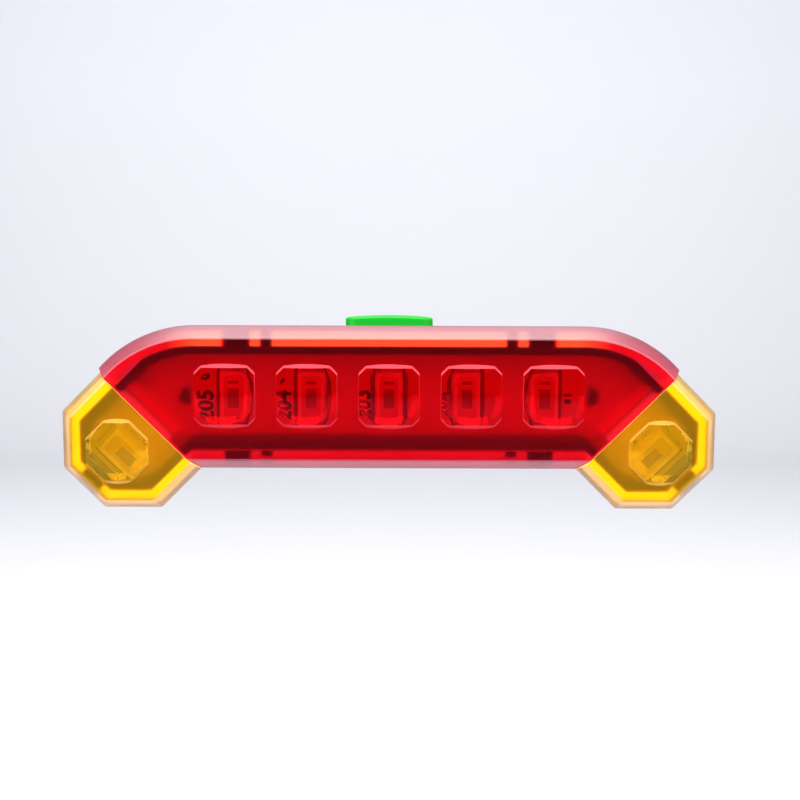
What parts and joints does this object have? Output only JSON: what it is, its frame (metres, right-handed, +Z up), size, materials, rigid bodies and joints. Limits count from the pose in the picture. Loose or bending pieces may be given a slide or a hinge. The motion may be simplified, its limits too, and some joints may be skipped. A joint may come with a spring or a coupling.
{
  "type": "bicycle tail light",
  "caption": "Seat post tail light: a long red lens between two amber octagon corner lenses, a green push button on top, and a rubber strap mount behind.",
  "frame": {"origin": "centre of the post clamp: on the axis of the seat post, at mid height of the pad and the strap", "axes": "+Z up along the post, +X to the right as seen by a rider behind, -Y towards the viewer behind the bicycle, where the lens looks"},
  "size_m": [0.117, 0.0541, 0.0342],
  "materials": {
    "red_lens": "transparent red polycarbonate, finely frosted with polished windows",
    "amber_lens": "transparent amber polycarbonate, finely frosted with a polished window",
    "black_housing": "moulded black ABS with a fine spark texture",
    "black_silicone": "matt black silicone rubber",
    "clear_silicone": "grey silicone seal",
    "green_silicone": "translucent green silicone rubber",
    "board_white": "fibreglass board under white solder mask",
    "board_green": "small fibreglass board under green solder mask",
    "led_white": "white moulded light source package",
    "led_resin": "clear casting resin over the die",
    "chip_black": "black moulded epoxy chip package",
    "resistor_black": "thick film chip resistors",
    "capacitor_tan": "ceramic chip capacitors",
    "ferrite": "pressed ferrite",
    "steel": "zinc plated steel",
    "nickel": "nickel plated sheet",
    "cell_foil": "aluminium laminate pouch",
    "foam": "closed cell foam tape"
  },
  "bodies": {
    "housing": {"red_lens": "red_lens", "amber_lens_left": "amber_lens", "amber_lens_right": "amber_lens", "rear_housing": "black_housing", "lens_gasket": "black_silicone", "led_board": "board_white", "led_resin_fills": "led_resin", "board_screws": "steel", "controller_chip": "chip_black", "charger_chip": "chip_black", "board_resistors": "resistor_black", "board_capacitors": "capacitor_tan", "charger_choke": "ferrite", "charge_indicator": "led_white", "switch_body": "chip_black", "button_seal": "clear_silicone", "charging_socket": "nickel", "socket_tongue": "chip_black", "port_cover_anchor": "black_silicone", "battery_cell": "cell_foil", "battery_foam_pad": "foam", "battery_guard_board": "board_green", "battery_tabs": "nickel", "post_pad": "black_silicone", "strap_pin": "steel", "red_led_1": "led_white", "red_led_2": "led_white", "red_led_3": "led_white", "red_led_4": "led_white", "red_led_5": "led_white", "amber_led_left": "led_white", "amber_led_right": "led_white"},
    "strap": {"mounting_strap": "black_silicone"},
    "cover": {"port_cover": "black_silicone"},
    "button": {"power_button": "green_silicone"},
    "plunger": {"switch_plunger": "chip_black"}
  },
  "joints": [
    {"name": "strap_swing", "type": "hinge", "parent": "housing", "child": "strap", "pos_m": [-0.01635, -0.01445, 0], "axis": [0, 0, 1], "range_deg": [0, 95]},
    {"name": "cover_fold", "type": "hinge", "parent": "housing", "child": "cover", "pos_m": [-0.0066, -0.0247, -0.00988], "axis": [0, 1, 0], "range_deg": [0, 90]},
    {"name": "button_press", "type": "slide", "parent": "housing", "child": "button", "axis": [0, 0, -1], "range_m": [0, 0.00035], "stiffness_N_per_m": 2000, "springref_m": -0.0002},
    {"name": "plunger_press", "type": "slide", "parent": "housing", "child": "plunger", "axis": [0, 0, -1], "range_m": [0, 0.00035]}
  ],
  "couplings": [
    {"joint": "plunger_press", "follows": "button_press", "ratio": 1}
  ]
}
